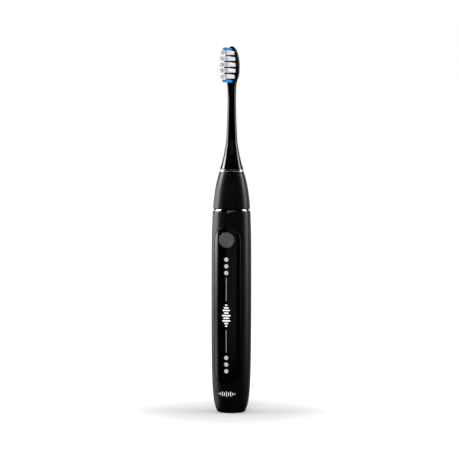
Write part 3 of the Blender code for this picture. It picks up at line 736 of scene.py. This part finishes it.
def makeHeadRing():
    low, high, reach, bore = headRing["bottom"], headRing["top"], headRing["radius"], headRing["bore"]
    corners = [(bore, low), (reach, low), (reach, high), (bore, high)]
    profile = softened(corners, {1: headRing["rounding"], 2: headRing["rounding"]})
    ring = turnedPiece("headRing", profile, steps=160)
    finishPiece(ring, "brush_head", "chrome_trim", "id_ring")


baseCap = {"plug": 6.6, "groove": 5.5, "neck": 6.0, "flange": 7.1, "top": 13.5, "socket": 4.0,
           "socketTop": 12.2}


def makeBaseCap():
    plug, groove, neck, flange = baseCap["plug"], baseCap["groove"], baseCap["neck"], baseCap["flange"]
    top, socket, socketTop = baseCap["top"], baseCap["socket"], baseCap["socketTop"]
    profile = [(0, top), (neck - 0.4, top), (neck, top - 0.4), (neck, 5.9), (plug, 5.7), (plug, 4.8),
               (groove, 4.8), (groove, 3.5), (plug, 3.5), (plug, 1.9), (flange, 1.9), (flange, 0.12),
               (flange - 0.12, 0), (socket + 0.4, 0), (socket + 0.12, 0.12), (socket, 0.4),
               (socket, socketTop - 0.2), (socket - 0.2, socketTop), (0, socketTop)]
    cap = turnedPiece("baseCap", profile, steps=96, closed=False)
    finishPiece(cap, "handle", "satin_black_plastic", "bottom_cap")


# ground rod with a flat that keys the brush head
shaft = {"radius": 2.0, "top": 182.0, "bottom": 90.8, "flatAt": 1.5, "flatBottom": 170.0}


def makeShaft():
    radius, top, bottom = shaft["radius"], shaft["top"], shaft["bottom"]
    profile = [(0, top), (radius - 0.45, top), (radius - 0.3, top - 0.05), (radius, top - 0.5),
               (radius, bottom + 0.3), (radius - 0.3, bottom), (0, bottom)]
    rod = turnedPiece("shaftRod", profile, steps=64, closed=False)
    block = (6, 2, 14)
    centre = Vector((0, -(shaft["flatAt"] + block[1] / 2), shaft["flatBottom"] + block[2] / 2))
    bm = bmesh.new()
    place = Matrix.Translation(centre * mm) @ Matrix.Diagonal((*[side * mm for side in block], 1))
    bmesh.ops.create_cube(bm, size=1, matrix=place)
    cutAway(rod, newPiece("flatCutter", bm))
    finishPiece(rod, "drive", "shaft_steel", "drive_shaft")


shaftLip = {"outer": 4.6, "bore": 2.3, "waist": 3.1, "bottom": 161.5, "top": 164.3}


def makeShaftLip():
    # rubber with two lips on the shaft and a waist between them
    outer, bore, waist = shaftLip["outer"], shaftLip["bore"], shaftLip["waist"]
    low, high = shaftLip["bottom"], shaftLip["top"]
    profile = [(outer, high), (outer, low), (bore, low), (bore, low + 0.7), (waist, low + 1.1),
               (waist, high - 0.8), (bore, high - 0.4), (bore, high)]
    lip = turnedPiece("shaftLip", softened(profile, {0: 0.25, 7: 0.12}), steps=72)
    finishPiece(lip, "handle", "seal_rubber", "shaft_seal")


makeNose()
makeSeamRing()
makeHeadRing()
makeBaseCap()
makeShaft()
makeShaftLip()

print("toothbrush: brush head")
head = {
    "outline": ((7.85, 166.1), (8.0, 166.3), (7.4, 168.3), (6.3, 172.3), (5.35, 176.4), (4.65, 180.5),
                (3.85, 185.6), (3.6, 190.0), (3.25, 198.0), (3.0, 206.0), (2.86, 214.0), (2.88, 220.5),
                (3.2, 224.3), (3.95, 227.0), (4.95, 229.6), (5.5, 232.2), (5.7, 236.0)),
    "endCentre": 236.0, "endRise": 14.06, "plateHalf": 5.7, "plateFront": 1.9, "plateBack": 2.6,
    "plateBegins": 213, "plateWhole": 229, "thinsFrom": 243.5, "thinsOver": 6.62,
    "turn": math.radians(-10), "bore": 3.5, "boreTop": 182.5, "flangeBore": 6.3, "flangeTop": 168.3,
}
headRadius = curveThrough(head["outline"])


def easeIn(value, low, high):
    t = max(0.0, min(1.0, (value - low) / (high - low)))
    return t * t * (3 - 2 * t)


def headLoop(bm, height, halfWidth, count):
    # round in the neck; in the plate flat in front and full behind
    plate = easeIn(height, head["plateBegins"], head["plateWhole"])
    closing = max(0.0, min(1.0, (height - head["thinsFrom"]) / head["thinsOver"]))
    thin = math.sqrt(1 - closing * closing)
    front, back = [(halfWidth + (depth - halfWidth) * plate) * thin
                   for depth in (head["plateFront"], head["plateBack"])]
    loop = []
    for i in range(count):
        angle = 2 * math.pi * (i + 0.5) / count
        across, ahead = math.cos(angle), math.sin(angle)
        depth, extra = (front, 2.0) if ahead > 0 else (back, 0.5)
        power = 2 / (2 + extra * plate)
        x = math.copysign(abs(across) ** power, across) * halfWidth
        y = -math.copysign(abs(ahead) ** power, ahead) * depth
        loop.append(bm.verts.new((x * mm, y * mm, height * mm)))
    return loop


def ringLoop(bm, radius, height, count):
    angles = [2 * math.pi * (i + 0.5) / count for i in range(count)]
    return [bm.verts.new((radius * math.cos(a) * mm, -radius * math.sin(a) * mm, height * mm))
            for a in angles]


def makeHeadMoulding():
    count = 96
    bm = bmesh.new()
    heights = [166.16, 166.22, 166.3, 166.45, 166.8, *[167.3 + 1.05 * i for i in range(50)],
               *[220.0 + 0.55 * i for i in range(30)]]
    loops = [ringLoop(bm, 7.75, 166.1, count), ringLoop(bm, 7.88, 166.12, count)]
    loops += [headLoop(bm, z, headRadius(z), count) for z in heights]
    for degrees in (3, 8, 14, 21, 28, 35, 42, 49, 56, 62, 68, 74, 79, 83, 86, 88.5):
        a = math.radians(degrees)
        loops.append(headLoop(bm, head["endCentre"] + head["endRise"] * math.sin(a),
                              head["plateHalf"] * math.cos(a), count))
    inside = [(head["bore"], head["boreTop"]), (head["bore"], head["flangeTop"]),
              (head["flangeBore"], head["flangeTop"]), (head["flangeBore"], 166.1)]
    hollow = [ringLoop(bm, r, z, count) for r, z in inside]
    for lower, upper in zip(loops, loops[1:]):
        joinLoops(bm, lower, upper)
    for lower, upper in zip(hollow, [*hollow[1:], loops[0]]):
        joinLoops(bm, lower, upper)
    bm.faces.new(loops[-1])
    bm.faces.new(hollow[0])
    bmesh.ops.rotate(bm, verts=bm.verts, matrix=Matrix.Rotation(head["turn"], 3, "Z"))
    moulding = newPiece("headMoulding", bm, crease=40)
    finishPiece(moulding, "brush_head", "gloss_black_plastic", "brush_body")


gripSleeve = {"outer": 3.2, "clipSeat": 2.75, "flange": 6.0, "bore": 2.3, "top": 182.2, "bottom": 165.2}


def makeGripSleeve():
    outer, seat, flange, bore = [gripSleeve[name] for name in ("outer", "clipSeat", "flange", "bore")]
    top, bottom = gripSleeve["top"], gripSleeve["bottom"]
    profile = [(outer, top), (outer, 177.9), (seat, 177.9), (seat, 174.9), (outer, 174.9), (outer, 168.0),
               (flange, 168.0), (flange, bottom), (bore, bottom), (bore, top)]
    sleeve = turnedPiece("gripSleeve", profile, steps=72)
    finishPiece(sleeve, "brush_head", "frame_plastic", "coupling_sleeve")


# real filaments are 0.18 mm thick, some 60 to a tuft; these are a little thicker so that they show.
# rows: half width and height; blue: name, node, half width, height, how tall, how far the tips lean up
tufts = {
    "root": 2.0, "tip": 12.3, "filament": 0.125, "packing": 0.265, "sides": 6,
    "spreadAcross": 1.1, "spreadUp": 1.17, "spreadRoot": 0.94,
    "jitter": 0.08, "shorten": 0.05, "uneven": 0.08,
    "rows": ((2.9, 245.3), (3.6, 241.3), (3.8, 237.3), (3.8, 233.3), (3.2, 229.3)),
    "rowHeight": 2.9, "columnGap": 0.95, "swell": 1.06, "corner": 3.2,
    "blue": (("tuftTop", "bristle_tip_top", 1.3, 247.7, 1.9, 0.1),
             ("tuftBottom", "bristle_tip_bottom", 1.6, 226.2, 1.8, 0.0)),
    "tipRings": ((2.4, 1), (0.9, 0.86), (0.2, 0.45)),
}


def addFilament(bm, root, tip, radius, sides):
    # rings near the end make the tip round: each is (distance from the end, width) in filament radii
    start, end = Vector(root), Vector(tip)
    along = (end - start).normalized()
    side = along.cross(Vector((0, 0, 1))).normalized()
    up = along.cross(side)
    length = (end - start).length
    rings = []
    places = [(0, 1), *[(length - radius * back, width) for back, width in tufts["tipRings"]]]
    for reach, width in places:
        centre = start + along * reach
        rings.append([bm.verts.new((centre + (side * math.cos(a) + up * math.sin(a)) * radius * width) * mm)
                      for a in [2 * math.pi * k / sides for k in range(sides)]])
    for lower, upper in zip(rings, rings[1:]):
        joinLoops(bm, lower, upper)
    bm.faces.new(rings[-1])


def addTuft(bm, chance, centre, halfWidth, halfHeight, lift=0.0):
    # filaments packed in hexagons inside a rounded rectangle
    step, hexRise, corner = tufts["packing"], 0.866, tufts["corner"]
    rowCount = int(halfHeight / (step * hexRise)) + 1
    columnCount = int(halfWidth / step) + 2
    for j in range(-rowCount, rowCount + 1):
        for i in range(-columnCount, columnCount + 1):
            u = (i + 0.5 * (j % 2)) * step
            v = j * step * hexRise
            if (abs(u) / halfWidth) ** corner + (abs(v) / halfHeight) ** corner > 1:
                continue
            du, dv = [chance.gauss(0, tufts["jitter"]) for k in range(2)]
            reach = tufts["tip"] - abs(chance.gauss(0, tufts["uneven"])) - tufts["shorten"]
            root = (centre[0] + u * tufts["spreadRoot"], -tufts["root"], centre[1] + v * tufts["spreadRoot"])
            tip = (centre[0] + u * tufts["spreadAcross"] + du, -reach,
                   centre[1] + v * tufts["spreadUp"] + dv + lift)
            addFilament(bm, root, tip, tufts["filament"], tufts["sides"])


def finishTufts(name, bm, slotName, node):
    bmesh.ops.rotate(bm, verts=bm.verts, matrix=Matrix.Rotation(head["turn"], 3, "Z"))
    mesh = meshFrom(name, bm)
    mesh.shade_smooth()
    finishPiece(addObject(name, mesh), "brush_head", slotName, node)


def makeBristles():
    chance = random.Random(11)
    gap, swell = tufts["columnGap"], tufts["swell"]
    for number, (half, height) in enumerate(tufts["rows"], start=1):
        bm = bmesh.new()
        width = (2 * half - 2 * gap) / 3
        for column in (-1, 0, 1):
            centre = (column * (width + gap), height)
            addTuft(bm, chance, centre, width / 2 / swell, tufts["rowHeight"] / 2 / swell)
        finishTufts(f"tuftRow{number}", bm, "bristle_white", f"bristle_row_{number}")
    for name, node, half, height, tall, lift in tufts["blue"]:
        bm = bmesh.new()
        addTuft(bm, chance, (0, height), half / swell, tall / 2 / swell, lift)
        finishTufts(name, bm, "bristle_blue", node)


makeHeadMoulding()
makeGripSleeve()
makeBristles()

print("toothbrush: studio")
studio = {
    "cameraAngle": 15.2, "cameraDistance": 1300.0, "cameraHeight": 179.0,
    "aimHeight": 125.1, "aimLeft": 1.42, "cameraRoll": 0.1, "frameWidth": 313.8, "sensor": 36,
    "lightAim": 120, "skyStrength": 0.6,
    # floor: its colour, then painted light that grows between two distances in mm from the object, to a
    # given strength, leaving a painted shadow round the base
    "floorColour": "#ffffff", "floorPaintedLightFrom": 25, "floorPaintedLightTo": 125, "floorPaintedLight": 0.5,
}


def aroundObject(angle, distance, height):
    # a place at an angle from the camera's side, positive to the camera's right
    a = math.radians(studio["cameraAngle"] + angle)
    return Vector((math.sin(a) * distance * mm, -math.cos(a) * distance * mm, height * mm))


def lookAt(thing, target):
    thing.rotation_euler = (Vector(target) - thing.location).to_track_quat("-Z", "Y").to_euler()


def makeCamera():
    data = bpy.data.cameras.new("studioCamera")
    camera = addObject("studioCamera", data)
    camera.location = aroundObject(0, studio["cameraDistance"], studio["cameraHeight"])
    a = math.radians(studio["cameraAngle"])
    right = Vector((math.cos(a), math.sin(a), 0))
    lookAt(camera, Vector((0, 0, studio["aimHeight"] * mm)) - right * studio["aimLeft"] * mm)
    camera.rotation_euler.rotate_axis("Z", math.radians(studio["cameraRoll"]))
    data.sensor_width = studio["sensor"]
    data.lens = studio["sensor"] / studio["frameWidth"] * studio["cameraDistance"]
    data.clip_start, data.clip_end = 0.05, 50
    bpy.context.scene.camera = camera


# soft boxes: angle from the camera, distance, width, lower and upper edge, brightness at the bottom, the
# steps by which it grows (from height, to height, added) and the shares over which it fades: near side,
# far side and top
boxes = {
    "leftStrip": {"angle": -101, "distance": 620, "width": 380, "low": -250, "high": 1150, "power": 1.1,
                  "rises": ((10, 150, 4.6), (260, 400, 8.6)), "fades": (0.34, 0.1, 0.1)},
    "leftFill": {"angle": -131, "distance": 620, "width": 380, "low": -250, "high": 330, "power": 0.8,
                 "rises": ((-60, 160, 1.7),), "fades": (0.1, 0.2, 0.25)},
    "rightStrip": {"angle": 100, "distance": 620, "width": 330, "low": -250, "high": 1150, "power": 0.1,
                   "rises": ((-60, 200, 3.9), (240, 400, 2.2)), "fades": (0.3, 0.25, 0.1)},
    "rightFill": {"angle": 145, "distance": 620, "width": 380, "low": -250, "high": 400, "power": 0.35,
                  "rises": ((-60, 160, 0.2),), "fades": (0.2, 0.2, 0.25)},
    "frontCard": {"angle": 0, "distance": 500, "width": 560, "low": -90, "high": 142, "power": 0.0,
                  "rises": ((-70, 20, 0.115),), "fades": (0.01, 0.01, 0.03)},
    "bandCard": {"angle": 0, "distance": 500, "width": 640, "low": 265, "high": 400, "power": 0.12,
                 "rises": (), "fades": (0.05, 0.05, 0.2)},
}


def easedRange(tree, value, start, end, top):
    # goes from 0 at start to top at end, gently at both ends
    eased = addNode(tree, "ShaderNodeMapRange", {
        "Value": value, "From Min": start, "From Max": end, "To Min": 0.0, "To Max": top},
        interpolation_type="SMOOTHSTEP")
    return eased.outputs["Result"]


def makeBox(name, box):
    # diffuser cloth lit from behind, facing the object; it shows only in reflections
    width, low, high = box["width"] * mm, box["low"] * mm, box["high"] * mm
    mesh = bpy.data.meshes.new(name)
    corners = [(-width / 2, 0, low), (width / 2, 0, low), (width / 2, 0, high), (-width / 2, 0, high)]
    mesh.from_pydata(corners, [], [(0, 1, 2, 3)])
    sheet = addObject(name, mesh)
    sheet.location = aroundObject(box["angle"], box["distance"], 0)
    sheet.rotation_euler.z = math.radians(studio["cameraAngle"] + box["angle"])
    glow = bpy.data.materials.new(name + " cloth")
    glow.use_nodes = True
    tree = glow.node_tree
    tree.nodes.clear()
    place = addNode(tree, "ShaderNodeTexCoord").outputs["Object"]
    split = addNode(tree, "ShaderNodeSeparateXYZ", {"Vector": place})
    # on the left the sheet's +X edge is nearer the camera, on the right its -X edge
    near, far, topShare = box["fades"]
    plusShare, minusShare = (near, far) if box["angle"] < 0 else (far, near)
    value = box["power"]
    for start, end, added in box["rises"]:
        rise = easedRange(tree, split.outputs["Z"], start * mm, end * mm, added)
        value = addNode(tree, "ShaderNodeMath", {0: value, 1: rise}, operation="ADD").outputs[0]
    for axis, edge, run in (("X", width / 2, -plusShare * width), ("X", -width / 2, minusShare * width),
                            ("Z", high, -topShare * (high - low))):
        fade = easedRange(tree, split.outputs[axis], edge, edge + run, 1.0)
        value = addNode(tree, "ShaderNodeMath", {0: value, 1: fade}, operation="MULTIPLY").outputs[0]
    glowing = addNode(tree, "ShaderNodeEmission", {"Strength": value})
    addNode(tree, "ShaderNodeOutputMaterial", {"Surface": glowing.outputs["Emission"]})
    mesh.materials.append(glow)
    sheet.visible_camera = False
    sheet.visible_diffuse = False
    sheet.visible_shadow = False


# lights for the matt surfaces, kept out of the reflections: angle from the camera, elevation, distance,
# width and height, watts
softLights = {
    "frontLight": {"angle": -6, "elevation": 10, "distance": 1500, "size": (700, 500), "watts": 11},
    "leftLight": {"angle": -88, "elevation": 14, "distance": 1300, "size": (800, 600), "watts": 5},
    "rightLight": {"angle": 84, "elevation": 14, "distance": 1300, "size": (800, 600), "watts": 5.5},
}


def makeSoftLight(name, look):
    data = bpy.data.lights.new(name, "AREA")
    data.shape, data.energy = "RECTANGLE", look["watts"]
    data.size, data.size_y = [side * mm for side in look["size"]]
    light = addObject(name, data)
    lift, aim = math.radians(look["elevation"]), studio["lightAim"]
    light.location = aroundObject(look["angle"], look["distance"] * math.cos(lift),
                                  aim + look["distance"] * math.sin(lift))
    lookAt(light, (0, 0, aim * mm))
    light.visible_glossy = False
    light.visible_camera = False


def makeFloor():
    # wide sheet of white paper with the faintest tooth
    bm = bmesh.new()
    bmesh.ops.create_grid(bm, x_segments=2, y_segments=2, size=12)
    mesh = meshFrom("paperFloor", bm)
    floor = addObject("paperFloor", mesh)
    finish, shader, place = startFinish("white paper, matt", studio["floorColour"], 0.9)
    tree = shader.id_data
    tooth = noise(place, 2, 3.0)
    raiseSurface(shader, tooth, 0.01)
    shader.inputs["Specular IOR Level"].default_value = 0.0
    # painted light: the paper glows more the farther it is from the object, which leaves a painted shadow
    # round the base
    away = addNode(tree, "ShaderNodeVectorMath", {0: place}, operation="LENGTH")
    glow = easedRange(tree, away.outputs["Value"], studio["floorPaintedLightFrom"] * mm, studio["floorPaintedLightTo"] * mm,
                      studio["floorPaintedLight"])
    shader.inputs["Emission Color"].default_value = (1, 1, 1, 1)
    tree.links.new(glow, shader.inputs["Emission Strength"])
    mesh.materials.append(finish)
    floor.visible_glossy = False


def makeWorld():
    # white surroundings light the matt surfaces; polished ones see only the soft boxes
    world = bpy.data.worlds.new("studioWorld")
    bpy.context.scene.world = world
    world.use_nodes = True
    tree = world.node_tree
    tree.nodes.clear()
    path = addNode(tree, "ShaderNodeLightPath")
    seen = addNode(tree, "ShaderNodeMath", {0: 1.0, 1: path.outputs["Is Glossy Ray"]}, operation="SUBTRACT")
    direct = addNode(tree, "ShaderNodeMapRange", {
        "Value": path.outputs["Is Camera Ray"], "To Min": studio["skyStrength"], "To Max": 1.0})
    strength = addNode(tree, "ShaderNodeMath", {0: seen.outputs[0], 1: direct.outputs["Result"]},
                       operation="MULTIPLY")
    sky = addNode(tree, "ShaderNodeBackground", {"Color": (1, 1, 1, 1), "Strength": strength.outputs[0]})
    addNode(tree, "ShaderNodeOutputWorld", {"Surface": sky.outputs["Background"]})


makeCamera()
for boxName, boxLook in boxes.items():
    makeBox(boxName, boxLook)
for lightName, lightLook in softLights.items():
    makeSoftLight(lightName, lightLook)
makeFloor()
makeWorld()
bpy.context.scene.view_settings.view_transform = "Standard"

print("toothbrush: done")
